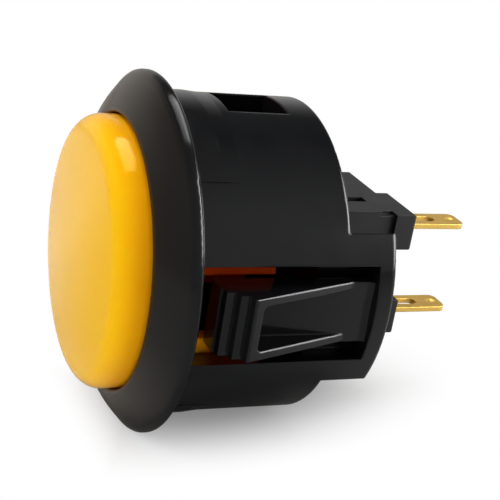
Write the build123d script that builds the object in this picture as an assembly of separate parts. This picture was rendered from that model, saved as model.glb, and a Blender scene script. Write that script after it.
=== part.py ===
"""Snap-in arcade push button for a 30 mm panel hole.

Every piece is drawn with the button's axis along Z, the front of the panel at Z = 0, the plunger
facing +Z, the snap arms on X and the terminals apart along Y. placed() then turns the pieces so
that the plunger faces -Y and the terminals lie one above the other.
All sizes are in millimetres. A depth is measured from the front of the panel to the rear.
"""

import os

from build123d import *

# Panel
panel_hole_d = 30.0
panel_thinnest = 2.0
panel_step = 1.0
panel_play = 0.2

# Bezel
bezel_flange = 1.65
bezel_lip_height = 3.45
bezel_rim_height = 0.85
bezel_bulge = 0.22
bezel_bulge_r = 9.0
bezel_lip_r = 0.3
bezel_rim_r = 0.4
bezel_under_r = 0.45

# Body tube
body_clearance = 0.15
body_wall = 2.2
body_depth = 14.15
body_edge_r = 0.35
wing_depth = 18.6
wing_side = 2.625
web_thickness = 2.0
pad_clearance = 0.02
pad_depth = 4.5
pad_ramp = 1.5
pad_angle = 89.0

# Snap arms
arm_width = 5.8
arm_gap = 1.65
arm_root = 1.65
arm_front_play = 0.03
arm_tip_inset = 0.1
arm_steps = 3
arm_step_rise = 0.75
arm_step_draft = 0.12
arm_nose_flat = 0.25
arm_flex = 0.9
arm_guard = 1.25
leaf_inset = 1.1
leaf_thickness = 1.05
leaf_root_r = 0.6
rib_thickness = 0.8
rib_edge_r = 0.13
rib_end_gap = 2.1
pocket_front_depth = 5.3
pocket_corner_r = 0.45

# Plunger
plunger_clearance = 0.15
plunger_height = 6.7
plunger_shoulder_height = 5.9
plunger_shoulder_r = 1.95
plunger_top_thickness = 2.2
skirt_wall = 1.5
notch_front_depth = -0.9
notch_clearance = 0.1
stroke = 2.4
boss_d = 6.2

# Plunger hooks and the windows that hold them
hook_window_width = 5.75
hook_window_front = 5.25
hook_side_clearance = 0.3
hook_front_clearance = 0.1
hook_rear_clearance = 0.75
hook_catch = 0.6
hook_nose_flat = 0.7
hook_nose_length = 2.65
hook_leg_slit = 0.8
hook_slit_depth = 2.4

# Switch case
switch_length = 12.0
switch_width = 12.3
case_depth = 5.15
case_wall = 1.2
case_floor = 2.5
cover_inset = 0.6
cover_roof = 1.0
cover_clearance = 0.15
tower_thickness = 3.5
tower_length = 3.0
tower_step = 1.5
tower_collar = 0.45
tower_collar_length = 2.2
tower_edge_r = 0.3
trench_start = 1.2
trench_width = 1.77
trench_sink = 0.7
rail_length = 6.95
rail_rise = 0.2
rebate_width = 0.7
rebate_sink = 0.3

# Latches of the housing that hold the switch case
latch_width = 3.6
latch_thickness = 1.1
latch_clearance = 0.1
latch_depth = 16.4
latch_catch = 0.5
latch_nose = 1.3

# Terminals
blade_width = 2.8
blade_thickness = 0.5
blade_offset = 3.1
blade_wall_gap = 0.25
blade_length = 6.5
blade_corner_r = 0.7
blade_fit = 0.03
slot_length = 2.5
slot_width = 1.2
slot_start = 1.2
dimple_r = 0.9
dimple_sink = 0.16
dimple_from_tip = 1.0
foot_edge = 0.25
foot_far = 1.5

# Contacts
contact_d = 1.4
contact_height = 0.5
contact_edge_r = 0.2
contact_apart = 6.0
contact_gap = 0.1
bridge_width = 2.0
bridge_thickness = 0.4
bridge_end = 0.1
bridge_corner_r = 0.5
bridge_fit = 0.03

# Actuator and its spring
stem_d = 3.6
stem_clearance = 0.1
stem_round = 0.4
boss_gap = 0.1
shoulder_d = 6.4
shoulder_thickness = 0.9
shoulder_gap = 0.1
carriage_wall = 0.8
carriage_foot = 0.8
carriage_clearance = 0.35
spigot_length = 0.8
spigot_clearance = 0.15
spring_d = 3.4
spring_wire = 0.3
spring_turns = 5
well_sink = 1.5
well_clearance = 0.3

# Radii and reaches that follow from the sizes above
bezel_r = panel_hole_d / 2 + bezel_flange
bezel_d = 2 * bezel_r
body_r = panel_hole_d / 2 - body_clearance
pad_r = panel_hole_d / 2 - pad_clearance
bore_r = body_r - body_wall
plunger_r = bore_r - plunger_clearance
wall_middle_r = (bore_r + body_r) / 2
leaf_reach = body_r - leaf_inset
leaf_inner = leaf_reach - leaf_thickness
arm_room_inner = leaf_inner - arm_flex
arm_tip_reach = body_r - arm_tip_inset
arm_reach = arm_tip_reach + arm_steps * arm_step_rise
hook_reach = bore_r + hook_catch
hook_width = hook_window_width - 2 * hook_side_clearance
arm_window_width = arm_width + 2 * arm_gap
wing_width = arm_window_width + 2 * wing_side
latch_inner = switch_length / 2 + latch_clearance

# Depths that follow from the sizes above
arm_front_depth = panel_thinnest + arm_front_play
arm_window_depth = wing_depth - arm_root
rib_end_depth = arm_window_depth - rib_end_gap
latch_catch_depth = latch_depth + latch_clearance
web_front_depth = body_depth - web_thickness
hook_front_depth = hook_window_front + hook_front_clearance
skirt_depth = hook_front_depth + hook_nose_length
hook_window_rear = skirt_depth + stroke + hook_rear_clearance
boss_depth = web_front_depth - stroke - 2 * boss_gap
stem_front_depth = boss_depth + boss_gap
roof_depth = web_front_depth + cover_roof
shoulder_front_depth = roof_depth + shoulder_gap
carriage_front_depth = shoulder_front_depth + shoulder_thickness
floor_depth = body_depth + case_depth
foot_front_depth = floor_depth - blade_thickness
saddle_depth = floor_depth + case_floor
tower_depth = saddle_depth + tower_length
collar_depth = tower_depth - tower_collar_length
rail_depth = body_depth + rail_length
bridge_rear_depth = foot_front_depth - 2 * contact_height - contact_gap - stroke
bridge_front_depth = bridge_rear_depth - bridge_thickness
carriage_rear_depth = bridge_rear_depth + carriage_foot
well_depth = floor_depth + well_sink
blade_tip_depth = tower_depth + blade_length

# Inner sizes of the switch that follow from the sizes above
inside_length = switch_length - 2 * case_wall
inside_width = switch_width - 2 * case_wall
blade_y = (inside_width - blade_thickness) / 2 - blade_wall_gap
bridge_length = contact_apart + contact_d + 2 * bridge_end
foot_inner = (contact_apart - contact_d) / 2 - foot_edge
carriage_length = bridge_width + 2 * carriage_wall
carriage_width = 2 * (foot_inner - carriage_clearance)
well_d = spring_d + 2 * well_clearance
spigot_d = spring_d - 2 * spring_wire - 2 * spigot_clearance


def block(x, y, depth):
    """Prism between two values of X, two of Y and two depths."""
    size = (x[1] - x[0], y[1] - y[0], depth[1] - depth[0])
    middle = ((x[0] + x[1]) / 2, (y[0] + y[1]) / 2, -(depth[0] + depth[1]) / 2)
    return Pos(*middle) * Box(*size)


def centred(length, width, depth):
    """Prism about the axis between two depths."""
    return block((-length / 2, length / 2), (-width / 2, width / 2), depth)


def round_bar(diameter, depth):
    """Cylinder about the axis between two depths."""
    middle = Pos(0, 0, -(depth[0] + depth[1]) / 2)
    return middle * Cylinder(diameter / 2, depth[1] - depth[0])


def both_sides(piece, plane):
    """A piece and its mirror image."""
    return piece + mirror(piece, about=plane)


def face(*edges):
    """Face of radius and height, or of X and height, inside edges that run round it."""
    return Plane.XZ * make_face(Curve() + list(edges))


def ribbon(outline, width):
    """Outline of X and height given a width across X."""
    return extrude(face(outline), amount=width / 2, both=True)


def tube(depth):
    """Bezel with a plain tube behind it, down to a depth."""
    middle_r = (bore_r + bezel_r) / 2
    middle_height = (bezel_lip_height + bezel_rim_height) / 2
    corners = [
        (wall_middle_r, -depth),
        (bore_r, -depth),
        (bore_r, bezel_lip_height),
        (middle_r + bezel_bulge, middle_height + bezel_bulge),
        (bezel_r, bezel_rim_height),
        (bezel_r, 0.0),
        (body_r, 0.0),
        (body_r, -depth),
        (wall_middle_r, -depth),
    ]
    sharp = 0.0
    rounds = [sharp, sharp, bezel_lip_r, bezel_bulge_r, bezel_rim_r, bezel_under_r, sharp, body_edge_r]
    return revolve(face(FilletPolyline(*corners, radius=rounds)), axis=Axis.Z)


def pads():
    """Slightly raised sectors behind the bezel that centre the body in its hole."""
    corners = [
        (wall_middle_r, 0.0),
        (pad_r, 0.0),
        (pad_r, pad_ramp - pad_depth),
        (body_r, -pad_depth),
        (wall_middle_r, -pad_depth),
    ]
    section = face(Polyline(*corners, close=True))
    sector = revolve(section, axis=Axis.Z, revolution_arc=pad_angle)
    return both_sides(Rot(Z=90 - pad_angle / 2) * sector, Plane.XZ)


def snap_arm():
    """Spring leaf on +X, rooted at the rear, with a stepped nose and two side ribs in front."""
    front = [
        (leaf_inner, -wing_depth),
        (leaf_inner, -arm_front_depth),
        (arm_tip_reach, -arm_front_depth),
    ]
    for step in range(arm_steps):
        depth = panel_thinnest + panel_play + step * panel_step
        reach = arm_tip_reach + step * arm_step_rise
        front.append((reach, -depth))
        front.append((reach + arm_step_rise, -depth - arm_step_draft))
    nose_height = front[-1][1] - arm_nose_flat
    front.append((arm_reach, nose_height))
    front.append((leaf_reach, -rib_end_depth))
    front.append((leaf_reach, leaf_root_r - arm_window_depth))
    root = (leaf_reach + leaf_root_r, -arm_window_depth)
    rear = [root, (root[0], -wing_depth), front[0]]
    root_arc = TangentArc(front[-1], root, tangent=(0, -1))
    section = face(Polyline(*front), root_arc, Polyline(*rear))
    arm = extrude(section, amount=arm_width / 2, both=True)
    pocket_half = arm_width / 2 - rib_thickness
    pocket = block((leaf_reach, bezel_d), (-pocket_half, pocket_half), (pocket_front_depth, rib_end_depth))
    arm -= fillet(pocket.edges().filter_by(Axis.X).group_by(Axis.Z)[-1], pocket_corner_r)
    slope = Axis((0, 0, 0), (arm_reach - leaf_reach, 0, nose_height + rib_end_depth))
    return fillet(arm.edges().filter_by(slope), rib_edge_r)


def latch():
    """Finger on +X that hooks into the side of the switch case and holds it against the web."""
    outer = latch_inner + latch_thickness
    end_depth = latch_catch_depth + latch_nose
    corners = [
        (latch_inner, -web_front_depth),
        (outer, -web_front_depth),
        (outer, -end_depth),
        (latch_inner, -end_depth),
        (latch_inner - latch_catch, -latch_catch_depth),
        (latch_inner, -latch_catch_depth),
    ]
    return ribbon(Polyline(*corners, close=True), latch_width)


def web():
    """Wall across the body that the switch case stands on."""
    depths = (web_front_depth, body_depth)
    disc = round_bar(2 * wall_middle_r, depths)
    opening = 2 * (cover_clearance - cover_inset)
    return disc - centred(switch_length + opening, switch_width + opening, depths)


def wing():
    """Lug on +X behind the body that closes in a snap arm, its sides on radii and its inner wall flat."""
    depths = (web_front_depth, wing_depth)
    edge_x = (body_r**2 - (wing_width / 2) ** 2) ** 0.5
    corners = [(0, 0), (2 * edge_x, wing_width), (2 * edge_x, -wing_width)]
    sector = Pos(0, 0, -wing_depth) * extrude(make_face(Polyline(*corners, close=True)), amount=wing_depth)
    solid = (tube(wing_depth) + round_bar(2 * wall_middle_r, depths)) & sector
    return solid & block((arm_room_inner - arm_guard, bezel_d), (-bezel_r, bezel_r), depths)


def housing():
    """Bezel, body, wings, snap arms, web and switch latches, one moulding."""
    body = tube(body_depth) + pads() + web() + both_sides(wing(), Plane.YZ)
    window_half = arm_window_width / 2
    arm_room = block((arm_room_inner, bezel_d), (-window_half, window_half), (0, arm_window_depth))
    body -= both_sides(arm_room, Plane.YZ)
    body -= centred(hook_window_width, bezel_d, (hook_window_front, hook_window_rear))
    return body + both_sides(snap_arm() + latch(), Plane.YZ)


def hook():
    """Nose on +Y of the plunger's skirt that rests under the front edge of its window."""
    root = plunger_r - skirt_wall / 2
    corners = [
        (root, -hook_front_depth),
        (hook_reach, -hook_front_depth),
        (hook_reach, -hook_front_depth - hook_nose_flat),
        (plunger_r, -skirt_depth),
        (root, -skirt_depth),
    ]
    return Rot(Z=90) * ribbon(Polyline(*corners, close=True), hook_width)


def plunger():
    """Domed cap with a skirt, two snap-arm notches, two retention hooks and a central boss."""
    inner_r = plunger_r - skirt_wall
    inner_height = plunger_shoulder_height - plunger_top_thickness
    crown = plunger_height - plunger_shoulder_height
    dome_r = (plunger_r**2 + crown**2) / (2 * crown)
    dome = Pos(0, 0, plunger_height - dome_r) * Rot(X=90) * Sphere(dome_r)
    cap = round_bar(2 * plunger_r, (-plunger_height, skirt_depth)) & dome
    rims = cap.edges().filter_by(lambda edge: edge.is_closed)
    cap = fillet(rims.sort_by(Axis.Z)[-1], plunger_shoulder_r)
    cap -= round_bar(2 * inner_r, (-inner_height, skirt_depth))
    skirt_room = (inner_r / 2, bezel_r)
    notch_half = arm_width / 2 + notch_clearance
    notch = block(skirt_room, (-notch_half, notch_half), (notch_front_depth, skirt_depth))
    cap -= both_sides(notch, Plane.YZ)
    slit_x = (hook_width / 2, hook_width / 2 + hook_leg_slit)
    slits = both_sides(block(slit_x, skirt_room, (hook_slit_depth, skirt_depth)), Plane.YZ)
    cap -= both_sides(slits, Plane.XZ)
    cap += round_bar(boss_d, (-inner_height, boss_depth))
    return cap + both_sides(hook(), Plane.XZ)


def tower():
    """Stepped block on +Y for one terminal, shorter on the half without it, with a rail along its top."""
    end = switch_length / 2
    outer = switch_width / 2
    corners = [
        (-end, -body_depth),
        (end, -body_depth),
        (end, -tower_depth),
        (0, -tower_depth),
        (0, tower_step - tower_depth),
        (-end, tower_step - tower_depth),
    ]
    solid = Pos(0, outer - tower_thickness / 2, 0) * ribbon(Polyline(*corners, close=True), tower_thickness)
    solid = fillet(solid.edges().group_by(Axis.Z)[0], tower_edge_r)
    side = end - tower_collar
    solid -= block((side, end), (outer - tower_thickness, outer), (body_depth, collar_depth))
    solid -= block((side - rebate_width, side), (outer - rebate_sink, outer), (rail_depth, collar_depth))
    rail_start = trench_start + trench_width
    rail_depths = (body_depth, rail_depth)
    solid -= block((trench_start, rail_start), (outer - trench_sink, outer), rail_depths)
    return solid + block((rail_start, side), (outer - trench_sink, outer + rail_rise), rail_depths)


def blade_slot():
    """Slot in the case that the upper terminal's blade is pushed through."""
    half_width = blade_width / 2 + blade_fit
    half_thickness = blade_thickness / 2 + blade_fit
    x = (blade_offset - half_width, blade_offset + half_width)
    y = (blade_y - half_thickness, blade_y + half_thickness)
    return block(x, y, (floor_depth, tower_depth))


def switch_base():
    """Case of the switch: a box with a spring well, and a tower for each terminal."""
    case = centred(switch_length, switch_width - 2 * tower_thickness, (body_depth, saddle_depth))
    case += both_sides(tower(), Plane.XZ)
    case -= centred(inside_length, inside_width, (body_depth, floor_depth))
    case -= round_bar(well_d, (floor_depth, well_depth))
    hold_half = latch_width / 2 + latch_clearance
    hold_bottom = latch_inner - latch_catch - latch_clearance
    hold_depths = (latch_depth, latch_catch_depth + latch_nose)
    hold = block((hold_bottom, switch_length / 2), (-hold_half, hold_half), hold_depths)
    case -= both_sides(hold, Plane.YZ)
    return case - both_sides(blade_slot(), Plane.XZ)


def switch_cover():
    """Cap on the case, inside the web's opening, with the actuator's guide hole."""
    length = switch_length - 2 * cover_inset
    width = switch_width - 2 * cover_inset
    cover = centred(length, width, (web_front_depth, body_depth))
    cover -= centred(inside_length, inside_width, (roof_depth, body_depth))
    return cover - round_bar(stem_d + 2 * stem_clearance, (web_front_depth, roof_depth))


def actuator():
    """Slider with a round stem, a shoulder under the cover and a carriage for the bridge."""
    stem = round_bar(stem_d, (stem_front_depth, carriage_front_depth))
    stem = fillet(stem.edges().group_by(Axis.Z)[-1], stem_round)
    shoulder = round_bar(shoulder_d, (shoulder_front_depth, carriage_front_depth))
    carriage = centred(carriage_length, carriage_width, (carriage_front_depth, carriage_rear_depth))
    slot_depths = (bridge_front_depth - bridge_fit, bridge_rear_depth + bridge_fit)
    carriage -= centred(bridge_width + 2 * bridge_fit, bridge_length, slot_depths)
    spigot = round_bar(spigot_d, (carriage_rear_depth, carriage_rear_depth + spigot_length))
    return stem + shoulder + carriage + spigot


def contact_bridge():
    """Bar through the actuator's carriage that joins the two terminals when pressed."""
    bar = centred(bridge_width, bridge_length, (bridge_front_depth, bridge_rear_depth))
    return fillet(bar.edges().filter_by(Axis.Z), bridge_corner_r)


def contact_pair(seat_depth, turn):
    """Two round contact buttons on a seat, their rounded ends to the rear unless turned round."""
    button = round_bar(contact_d, (0, contact_height))
    button = fillet(button.edges().group_by(Axis.Z)[0], contact_edge_r)
    return both_sides(Pos(0, contact_apart / 2, -seat_depth) * Rot(X=turn) * button, Plane.XZ)


def terminal():
    """Upper terminal: a blade with a slot and a dimple, and a foot inside the case."""
    half = blade_width / 2
    corners = [
        (-half, -foot_front_depth),
        (-half, -blade_tip_depth),
        (half, -blade_tip_depth),
        (half, -foot_front_depth),
        (-half, -foot_front_depth),
    ]
    sharp = 0.0
    outline = FilletPolyline(*corners, radius=[sharp, blade_corner_r, blade_corner_r, sharp])
    blade = ribbon(outline, blade_thickness)
    slot_height = -tower_depth - slot_start - slot_length / 2
    slot = Plane.XZ * Pos(0, slot_height) * SlotOverall(slot_length, slot_width, rotation=90)
    blade -= extrude(slot, amount=blade_thickness, both=True)
    dimple_y = blade_thickness / 2 - dimple_sink + dimple_r
    dimple = Pos(0, dimple_y, dimple_from_tip - blade_tip_depth) * Sphere(dimple_r)
    blade -= both_sides(dimple, Plane.XZ)
    foot_y = (foot_inner, blade_y + blade_thickness / 2)
    foot = block((-foot_far, blade_offset + half), foot_y, (foot_front_depth, floor_depth))
    return Pos(blade_offset, blade_y, 0) * blade + foot


def return_spring():
    """Coil between the bottom of the well and the actuator's carriage."""
    height = well_depth - carriage_rear_depth - spring_wire
    coil_r = (spring_d - spring_wire) / 2
    path = Helix(pitch=height / spring_turns, height=height, radius=coil_r)
    section = Plane(path @ 0, z_dir=path % 0) * Circle(spring_wire / 2)
    coil = sweep(section, path=path, is_frenet=True)
    return Pos(0, 0, spring_wire / 2 - well_depth) * coil


def placed(piece):
    """A piece turned from the drawing frame to the button's own frame."""
    return Rot(X=90) * piece


pieces = {
    "housing": housing(),
    "plunger": plunger(),
    "switch_base": switch_base(),
    "switch_cover": switch_cover(),
    "actuator": actuator(),
    "contact_bridge": contact_bridge(),
    "moving_contacts": contact_pair(bridge_rear_depth, turn=0),
    "fixed_contacts": contact_pair(foot_front_depth, turn=180),
    "terminal_upper": terminal(),
    "terminal_lower": mirror(terminal(), about=Plane.XZ),
    "return_spring": return_spring(),
}
os.makedirs("parts", exist_ok=True)
for name, piece in pieces.items():
    export_step(placed(piece), f"parts/{name}.step")
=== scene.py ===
"""Looks of a snap-in arcade push button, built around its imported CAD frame.

Everything is in metres in the CAD's own frame: the plunger faces -Y, the terminals point to +Y and
lie one above the other along Z, and the snap arms are on X.
"""

import math

import bmesh
import bpy
from mathutils import Matrix, Vector


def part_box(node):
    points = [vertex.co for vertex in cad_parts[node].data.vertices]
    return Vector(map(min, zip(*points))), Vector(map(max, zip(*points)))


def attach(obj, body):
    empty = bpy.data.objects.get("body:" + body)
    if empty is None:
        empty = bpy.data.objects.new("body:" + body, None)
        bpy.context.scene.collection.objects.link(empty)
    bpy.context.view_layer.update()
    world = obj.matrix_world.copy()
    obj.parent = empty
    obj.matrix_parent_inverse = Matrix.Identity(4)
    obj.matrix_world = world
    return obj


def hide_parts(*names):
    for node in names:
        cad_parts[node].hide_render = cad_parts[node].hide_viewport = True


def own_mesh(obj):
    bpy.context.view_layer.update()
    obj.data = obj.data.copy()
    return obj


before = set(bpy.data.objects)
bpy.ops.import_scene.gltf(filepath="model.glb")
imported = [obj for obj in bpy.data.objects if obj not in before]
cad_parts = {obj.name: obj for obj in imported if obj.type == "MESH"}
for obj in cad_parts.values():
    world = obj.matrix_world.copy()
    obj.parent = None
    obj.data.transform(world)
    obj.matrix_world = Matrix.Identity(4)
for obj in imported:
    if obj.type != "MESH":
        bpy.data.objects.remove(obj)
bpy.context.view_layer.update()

MM = 0.001


def mm(*values):
    """Millimetres as metres."""
    return tuple(value * MM for value in values)


# Camera: the button's axis is turned out of the picture's plane, and the button is rolled about it
axis_turn = math.radians(23.25)
axis_roll = math.radians(23.2)
origin_in_view = Vector((-10.04, -0.05, -113.89)) * MM
lens_mm = 88.68
sensor_mm = 36.0

# Ends of a plain rise or fall, and the range that noise mostly stays in
rising = (0.0, 1.0)
falling = (1.0, 0.0)
noise_range = (0.3, 0.7)

# Floor that the button lies on, touching its bezel and the rear edge of its body
floor_normal = Vector((-0.077, -0.121, 0.99)).normalized()
floor_contact = Vector((0.0, 0.0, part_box("housing")[0].z))
floor_half = 1.5
floor_white = (0.95, 0.95, 0.95, 1.0)

# Shadow that shows on the floor: longer along Y, and faded to white further away and in front
shadow_middle = 10.0 * MM
shadow_squeeze = 0.6
shadow_glow = (0.2, 1.0)
shadow_reach = mm(3.6, 16.5)
shadow_front = mm(-5.5, 2.5)

# Floor as the button mirrors it, with painted light: lighter to the rear, painted shade close by, painted
# bounce light under the bezel, and a painted warm bounce toward -X
floor_rearward = (-0.7, 1.0, 0.0)
floor_level = (0.26, 0.66)
floor_level_over = mm(-6.0, 22.0)
floor_painted_shade = (0.85, 1.0)
floor_painted_shade_over = mm(10.0, 40.0)
floor_painted_bounce = (1.7, 1.0)
floor_painted_bounce_over = mm(8.0, 25.0)
floor_painted_bounce_front = mm(-4.0, 0.0)
floor_tint_over = mm(-20.0, 20.0)

# Light from all round, and the levels that the button mirrors: low, high, right, rear and front
ambient = 0.4
mirrored_low = (0.62, 0.44)
mirrored_low_over = (-0.25, 0.35)
mirrored_high = 0.08
mirrored_high_over = (0.28, 0.62)
mirrored_right = (0.22, 0.42)
mirrored_right_over = (-0.5, 0.4)
mirrored_rear = 0.9
mirrored_front = 0.22

# Directions over which the surroundings turn to the right, to the rear, to the front and to neutral
rightward_over_x = (-0.3, 0.6)
rear_over_x = (0.0, 0.35)
rear_over_y = (0.6, 0.85)
front_over_y = (-0.95, -0.4)
neutral_over_y = (-0.1, 0.35)

# Colours, linear
white = (1.0, 1.0, 1.0, 1.0)
black = (0.0, 0.0, 0.0, 1.0)
glow_warm = (1.0, 0.9, 0.81, 1.0)
amber_face = (0.85, 0.475, 0.004, 1.0)
# Plunger sides: painted shade, a deeper orange than the face
amber_side_shaded = (0.86, 0.36, 0.001, 1.0)
# Plunger inside the housing: painted shade, dark red
amber_skirt_shaded = (0.42, 0.024, 0.001, 1.0)
amber_gloss = (1.0, 0.87, 0.11, 1.0)
black_warm = (0.0056, 0.0049, 0.0042, 1.0)
black_cool = (0.0035, 0.0038, 0.0045, 1.0)
case_colours = ((0.0025, 0.0025, 0.0025, 1.0), (0.0045, 0.0045, 0.0042, 1.0))
natural_colours = ((0.68, 0.67, 0.63, 1.0), (0.74, 0.73, 0.7, 1.0))
brass_colours = ((0.80, 0.50, 0.11, 1.0), (0.96, 0.66, 0.18, 1.0))
silver_colours = ((0.6, 0.6, 0.58, 1.0), (0.8, 0.8, 0.78, 1.0))
steel_colours = ((0.4, 0.4, 0.41, 1.0), (0.55, 0.55, 0.56, 1.0))

# Housing along Y: where the satin bezel ends, its edge radii, and the slight slope of its rim
bezel_end = mm(-1.2, -1.05)
bezel_edge_r = mm(0.7, 0.06)
bezel_edge_over = mm(-0.8, 0.1)
rear_edge_r = mm(0.06, 0.26)
rear_edge_over = mm(5.0, 7.0)
rim_front = (0.06, 0.0)
rim_front_over = mm(-1.35, -0.9)
rim_rear = (0.0, 0.08)
rim_rear_over = mm(-0.75, -0.3)

# Plunger along Y: where the face turns to the sides, painted a deeper orange as painted shade, and these to
# the skirt, painted dark red as painted shade that starts further forward at the top than at the bottom;
# and its edge radii
amber_wander = 0.8 * MM
amber_side_shaded_over = mm(-5.4, -3.3)
skirt_shaded_over = mm(1.5, 3.1)
skirt_shade_slant = mm(-0.9, 0.9)
skirt_shade_slant_over_z = mm(-3.7, 3.4)
skirt_specular = (0.5, 0.12)
plunger_edge_r = mm(0.8, 0.1)
plunger_edge_over = mm(-3.0, -2.0)

# Light that sinks into the plunger
amber_sink = 0.6
amber_sink_colours = (1.0, 0.5, 0.05)
amber_sink_depth = 2.2 * MM

# Roughness
satin_rough = (0.20, 0.27)
gloss_rough = (0.09, 0.15)
amber_rough = (0.03, 0.06)
case_rough = (0.4, 0.5)
natural_rough = (0.35, 0.45)
brass_rough = (0.38, 0.5)
bright_rough = (0.2, 0.3)

# Scales of the mottling, of the finer grain and of the rolling lines of the metal
housing_mottle = 260.0
housing_grain = 5200.0
plunger_mottle = 140.0
plunger_grain = 900.0
plain_mottle = 420.0
plain_grain = 7000.0
metal_mottle = 700.0
metal_lines = (6000.0, 260.0, 6000.0)

# Detail of the mottling, the grain and the lines
mottle_detail = 3.0
grain_detail = 2.0
line_detail = 4.0

# Height of the grain and of the lines, and the radius of edges that is one all over a piece
housing_grain_height = 0.0012
plunger_grain_height = 0.0015 * MM
plain_grain_height = 0.003 * MM
metal_line_height = 0.003 * MM
plain_edge_r = 0.1 * MM
metal_edge_r = 0.14 * MM
edge_samples = 6

# Return spring
wire_r = 0.15 * MM
coil_r = 1.55 * MM
coil_turns = 5
coil_steps = 24
wire_sides = 10

# First of the two inputs that a mix node blends, for each kind of value
mix_inputs = {"RGBA": 6, "FLOAT": 2}


def set_inputs(tree, node, inputs):
    """Sets inputs of a node to values, or links them to outputs of other nodes."""
    for name, value in inputs.items():
        if isinstance(value, bpy.types.NodeSocket):
            tree.links.new(value, node.inputs[name])
        else:
            node.inputs[name].default_value = value


def shader_node(tree, kind, inputs=None, **settings):
    """A shader node with its settings and inputs."""
    made = tree.nodes.new(kind)
    for name, value in settings.items():
        setattr(made, name, value)
    set_inputs(tree, made, inputs or {})
    return made


def blank_material(name):
    """A material with only its principled shader, and that shader and the node tree."""
    made = bpy.data.materials.new(name)
    made.use_nodes = True
    tree = made.node_tree
    return made, tree, tree.nodes["Principled BSDF"]


def coordinates(tree, kind):
    """Coordinates of one kind, such as the object's own."""
    return shader_node(tree, "ShaderNodeTexCoord").outputs[kind]


def split(tree, vector):
    """The X, Y and Z of a vector."""
    return shader_node(tree, "ShaderNodeSeparateXYZ", {"Vector": vector}).outputs


def calculate(tree, operation, *values, kind="ShaderNodeMath"):
    """The number that an operation gives."""
    return shader_node(tree, kind, dict(enumerate(values)), operation=operation).outputs["Value"]


def noise(tree, place, scale, detail=mottle_detail):
    """Noise about its mean of one half."""
    made = shader_node(tree, "ShaderNodeTexNoise", {"Vector": place, "Scale": scale, "Detail": detail})
    return made.outputs["Fac"]


def spread(tree, value, ends, over=noise_range, curve="LINEAR"):
    """A value that goes from one end to the other over a range of another value."""
    inputs = {
        "Value": value,
        "From Min": over[0],
        "From Max": over[1],
        "To Min": ends[0],
        "To Max": ends[1],
    }
    return shader_node(tree, "ShaderNodeMapRange", inputs, interpolation_type=curve).outputs["Result"]


def blend(tree, value, low, high):
    """A number between two numbers, or a colour between two colours."""
    coloured = isinstance(low, tuple) or getattr(low, "type", "") == "RGBA"
    kind = "RGBA" if coloured else "FLOAT"
    first = mix_inputs[kind]
    made = shader_node(tree, "ShaderNodeMix", {0: value, first: low, first + 1: high}, data_type=kind)
    return next(output for output in made.outputs if output.enabled)


def relief(tree, height, depth, edge_r):
    """A normal with a fine relief and with edges rounded to a radius."""
    rounded = shader_node(tree, "ShaderNodeBevel", {"Radius": edge_r}, samples=edge_samples)
    inputs = {"Height": height, "Distance": depth, "Strength": 1.0, "Normal": rounded.outputs["Normal"]}
    return shader_node(tree, "ShaderNodeBump", inputs).outputs["Normal"]


def housing_plastic():
    """Black moulding: satin on the bezel, glossy behind it."""
    made, tree, shader = blank_material("housing_black")
    place = coordinates(tree, "Object")
    along = split(tree, place)["Y"]
    behind = spread(tree, along, rising, bezel_end)
    mottle = noise(tree, place, housing_mottle)
    satin = spread(tree, mottle, satin_rough)
    gloss = spread(tree, mottle, gloss_rough)
    bezel_r = spread(tree, along, bezel_edge_r, bezel_edge_over)
    rear_r = spread(tree, along, rear_edge_r, rear_edge_over)
    edge_r = calculate(tree, "MAXIMUM", bezel_r, rear_r)
    front_slope = spread(tree, along, rim_front, rim_front_over)
    rear_slope = spread(tree, along, rim_rear, rim_rear_over)
    rim = calculate(tree, "ADD", front_slope, rear_slope)
    grain = noise(tree, place, housing_grain, grain_detail)
    height = calculate(tree, "MULTIPLY_ADD", grain, housing_grain_height, rim)
    inputs = {
        "Base Color": blend(tree, behind, black_warm, black_cool),
        "Roughness": blend(tree, behind, satin, gloss),
        "Normal": relief(tree, height, MM, edge_r),
    }
    set_inputs(tree, shader, inputs)
    return made


def plunger_plastic():
    """Glossy amber moulding that lets a little light in. Painted shade: its sides are a deeper orange than
    the face, and inside the housing it is dark red and duller.
    """
    made, tree, shader = blank_material("plunger_amber")
    place = coordinates(tree, "Object")
    parts = split(tree, place)
    mottle = noise(tree, place, plunger_mottle)
    along = calculate(tree, "MULTIPLY_ADD", mottle, amber_wander, parts["Y"])
    # Painted shade: sides deeper orange than the face, and dark red inside the housing, reaching further
    # forward at the top
    outside = blend(tree, spread(tree, along, rising, amber_side_shaded_over), amber_face, amber_side_shaded)
    shade_slant = spread(tree, parts["Z"], skirt_shade_slant, skirt_shade_slant_over_z)
    inside = spread(tree, calculate(tree, "ADD", along, shade_slant), rising, skirt_shaded_over)
    edge_r = spread(tree, along, plunger_edge_r, plunger_edge_over)
    grain = noise(tree, place, plunger_grain, grain_detail)
    inputs = {
        "Base Color": blend(tree, inside, outside, amber_skirt_shaded),
        "Roughness": spread(tree, mottle, amber_rough),
        "Specular IOR Level": blend(tree, inside, *skirt_specular),
        "Specular Tint": amber_gloss,
        "Subsurface Weight": amber_sink,
        "Subsurface Radius": amber_sink_colours,
        "Subsurface Scale": amber_sink_depth,
        "Normal": relief(tree, grain, plunger_grain_height, edge_r),
    }
    set_inputs(tree, shader, inputs)
    return made


def plain_plastic(name, colours, rough):
    """Satin moulding with a fine grain."""
    made, tree, shader = blank_material(name)
    place = coordinates(tree, "Object")
    mottle = noise(tree, place, plain_mottle)
    grain = noise(tree, place, plain_grain, grain_detail)
    inputs = {
        "Base Color": blend(tree, mottle, *colours),
        "Roughness": spread(tree, mottle, rough),
        "Normal": relief(tree, grain, plain_grain_height, plain_edge_r),
    }
    set_inputs(tree, shader, inputs)
    return made


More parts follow.
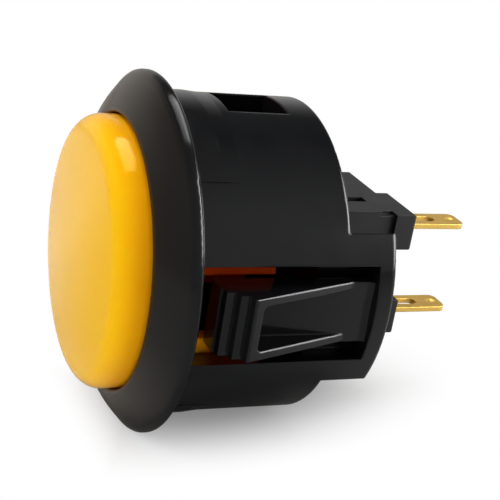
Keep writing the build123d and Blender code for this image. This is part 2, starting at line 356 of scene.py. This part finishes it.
def stamped_metal(name, colours, rough):
    """Rolled and stamped metal with fine lines along Y."""
    made, tree, shader = blank_material(name)
    place = coordinates(tree, "Object")
    stretched = shader_node(tree, "ShaderNodeMapping", {"Vector": place, "Scale": metal_lines})
    lines = noise(tree, stretched.outputs["Vector"], 1.0, line_detail)
    inputs = {
        "Base Color": blend(tree, noise(tree, place, metal_mottle), *colours),
        "Metallic": 1.0,
        "Roughness": spread(tree, lines, rough),
        "Normal": relief(tree, lines, metal_line_height, metal_edge_r),
    }
    set_inputs(tree, shader, inputs)
    return made


def dress(material, *nodes):
    """Gives CAD nodes a material."""
    for name in nodes:
        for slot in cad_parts[name].material_slots:
            slot.material = material


def return_coil(material):
    """Coil spring of the actuator, built at its rest length; the real one shortens as the plunger is
    pressed.
    """
    low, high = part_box("return_spring")
    rest_length = high.y - low.y
    pitch = (rest_length - 2 * wire_r) / coil_turns
    mesh = bmesh.new()
    rings = []
    for step in range(coil_turns * coil_steps + 1):
        turn = math.tau * step / coil_steps
        outward = Vector((math.cos(turn), 0.0, math.sin(turn)))
        centre = outward * coil_r + Vector((0.0, low.y + wire_r + pitch * step / coil_steps, 0.0))
        ring = []
        for side in range(wire_sides):
            angle = math.tau * side / wire_sides
            offset = outward * math.cos(angle) + Vector((0.0, math.sin(angle), 0.0))
            ring.append(mesh.verts.new(centre + offset * wire_r))
        rings.append(ring)
    for ring, following in zip(rings, rings[1:]):
        for side in range(wire_sides):
            after = (side + 1) % wire_sides
            mesh.faces.new((ring[side], ring[after], following[after], following[side]))
    mesh.faces.new(rings[0])
    mesh.faces.new(rings[-1])
    bmesh.ops.recalc_face_normals(mesh, faces=mesh.faces)
    data = bpy.data.meshes.new("return_coil")
    mesh.to_mesh(data)
    mesh.free()
    data.shade_smooth()
    data.materials.append(material)
    coil = bpy.data.objects.new("return_coil", data)
    bpy.context.scene.collection.objects.link(coil)
    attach(coil, "housing")
    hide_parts("return_spring")
    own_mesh(coil)


def ray_kinds(tree):
    """1 for rays that look straight at the background or through something clear, and for mirrored ones."""
    path = shader_node(tree, "ShaderNodeLightPath").outputs
    seen = calculate(tree, "MAXIMUM", path["Is Camera Ray"], path["Is Transmission Ray"])
    return seen, path["Is Glossy Ray"]


def floor_paper():
    """Pale paper that keeps the button's shadow and fades to white further away."""
    made, tree, shader = blank_material("floor_white")
    place = coordinates(tree, "Object")
    parts = split(tree, place)
    placing = {
        "Vector": place,
        "Location": (0.0, -shadow_squeeze * shadow_middle, 0.0),
        "Scale": (1.0, shadow_squeeze, 1.0),
    }
    track = shader_node(tree, "ShaderNodeMapping", placing).outputs["Vector"]
    away = calculate(tree, "LENGTH", track, kind="ShaderNodeVectorMath")
    seen, glossy = ray_kinds(tree)
    further = spread(tree, away, shadow_glow, shadow_reach, "SMOOTHSTEP")
    in_front = spread(tree, parts["Y"], falling, shadow_front, "SMOOTHSTEP")
    whitened = calculate(tree, "MAXIMUM", further, in_front)
    rearward = calculate(tree, "DOT_PRODUCT", place, floor_rearward, kind="ShaderNodeVectorMath")
    level = spread(tree, rearward, floor_level, floor_level_over)
    # Painted shade close by, and painted bounce light under and in front of the bezel
    painted_shade_near = spread(tree, away, floor_painted_shade, floor_painted_shade_over)
    painted_bounce = spread(tree, away, floor_painted_bounce, floor_painted_bounce_over)
    painted_bounce_front = spread(tree, parts["Y"], falling, floor_painted_bounce_front)
    painted_shade_and_bounce = calculate(tree, "MAXIMUM", painted_shade_near, calculate(tree, "MULTIPLY", painted_bounce, painted_bounce_front))
    # Painted warm bounce light toward -X
    tint = blend(tree, spread(tree, parts["X"], rising, floor_tint_over), glow_warm, white)
    mirrored = blend(tree, calculate(tree, "MULTIPLY", level, painted_shade_and_bounce), black, tint)
    colour = blend(tree, glossy, floor_white, mirrored)
    paper = shader_node(tree, "ShaderNodeBsdfDiffuse", {"Color": colour}).outputs[0]
    glow = shader_node(tree, "ShaderNodeEmission").outputs[0]
    showing = {0: calculate(tree, "MULTIPLY", whitened, seen), 1: paper, 2: glow}
    shown = shader_node(tree, "ShaderNodeMixShader", showing).outputs[0]
    tree.nodes.remove(shader)
    set_inputs(tree, tree.nodes["Material Output"], {"Surface": shown})
    return made


def lay_floor():
    """Flat floor, large enough to fill every view."""
    data = bpy.data.meshes.new("floor")
    corners = [(-floor_half, -floor_half, 0), (floor_half, -floor_half, 0)]
    corners += [(floor_half, floor_half, 0), (-floor_half, floor_half, 0)]
    data.from_pydata(corners, [], [(0, 1, 2, 3)])
    data.materials.append(floor_paper())
    floor = bpy.data.objects.new("floor", data)
    bpy.context.scene.collection.objects.link(floor)
    turn = Vector((0, 0, 1)).rotation_difference(floor_normal)
    floor.matrix_world = Matrix.Translation(floor_contact) @ turn.to_matrix().to_4x4()


def surround():
    """White background, with soft light from all round that has levels of its own where it is mirrored."""
    world = bpy.data.worlds.new("studio")
    world.use_nodes = True
    tree = world.node_tree
    parts = split(tree, coordinates(tree, "Generated"))
    seen, glossy = ray_kinds(tree)
    low = spread(tree, parts["Y"], mirrored_low, mirrored_low_over)
    left = spread(tree, parts["Z"], (low, mirrored_high), mirrored_high_over)
    right = spread(tree, parts["Y"], mirrored_right, mirrored_right_over)
    rightward = spread(tree, parts["X"], rising, rightward_over_x)
    sides = blend(tree, rightward, left, right)
    rear_y = spread(tree, parts["Y"], rising, rear_over_y)
    rear_x = spread(tree, parts["X"], rising, rear_over_x)
    behind = blend(tree, calculate(tree, "MULTIPLY", rear_y, rear_x), sides, mirrored_rear)
    mirrored = blend(tree, spread(tree, parts["Y"], falling, front_over_y), behind, mirrored_front)
    level = blend(tree, glossy, ambient, mirrored)
    neutral = calculate(tree, "MAXIMUM", rightward, spread(tree, parts["Y"], rising, neutral_over_y))
    tint = blend(tree, neutral, glow_warm, white)
    inputs = {"Strength": blend(tree, seen, level, 1.0), "Color": blend(tree, glossy, white, tint)}
    set_inputs(tree, tree.nodes["Background"], inputs)
    bpy.context.scene.world = world


def softbox(name, place, size, power, mirrored=True, lights=True):
    """Rectangular lamp aimed at the middle of the button. It lights it, is mirrored in it, or both."""
    lamp = bpy.data.lights.new(name, "AREA")
    lamp.shape = "RECTANGLE"
    lamp.size, lamp.size_y = size
    lamp.energy = power
    holder = bpy.data.objects.new(name, lamp)
    holder.location = place
    holder.rotation_mode = "QUATERNION"
    holder.rotation_quaternion = (-Vector(place)).to_track_quat("-Z", "Y")
    holder.visible_glossy = mirrored
    holder.visible_diffuse = lights
    bpy.context.scene.collection.objects.link(holder)


def set_camera():
    """Camera that shows the button from the side and a little from the front."""
    front = Vector((-math.cos(axis_turn), 0.0, math.sin(axis_turn)))
    upright = Vector((0.0, 1.0, 0.0))
    across = upright.cross(front)
    arm = across * math.cos(axis_roll) - upright * math.sin(axis_roll)
    stack = across * math.sin(axis_roll) + upright * math.cos(axis_roll)
    turn = Matrix((arm, -front, stack)).transposed().to_4x4()
    into_view = Matrix.Translation(origin_in_view) @ turn
    data = bpy.data.cameras.new("camera")
    data.lens = lens_mm
    data.sensor_width = sensor_mm
    data.clip_start = MM
    camera = bpy.data.objects.new("camera", data)
    camera.matrix_world = into_view.inverted()
    bpy.context.scene.collection.objects.link(camera)
    bpy.context.scene.camera = camera


# The button
dress(housing_plastic(), "housing")
dress(plunger_plastic(), "plunger")
dress(plain_plastic("switch_black", case_colours, case_rough), "switch_base", "switch_cover")
dress(plain_plastic("actuator_white", natural_colours, natural_rough), "actuator")
brass = stamped_metal("terminal_brass", brass_colours, brass_rough)
dress(brass, "terminal_upper", "terminal_lower", "contact_bridge")
silver = stamped_metal("contact_silver", silver_colours, bright_rough)
dress(silver, "moving_contacts", "fixed_contacts")
return_coil(stamped_metal("spring_steel", steel_colours, bright_rough))

# What is round it
lay_floor()
surround()
softbox("softbox_over", (-0.122, -0.002, 0.40), (0.26, 0.272), 0.93)
softbox("softbox_top", (-0.05, -0.10, 0.42), (0.30, 0.30), 0.24, mirrored=False)
softbox("softbox_rear", (0.225, 0.378, 0.10), (0.30, 0.30), 2.6, lights=False)
softbox("softbox_edges", (0.099, 0.356, 0.257), (0.20, 0.20), 1.1, lights=False)
softbox("softbox_front", (0.02, -0.44, 0.26), (0.30, 0.30), 1.17, mirrored=False)
softbox("softbox_right", (0.42, -0.08, 0.12), (0.30, 0.30), 0.18, mirrored=False)
set_camera()
bpy.context.scene.view_settings.view_transform = "Standard"
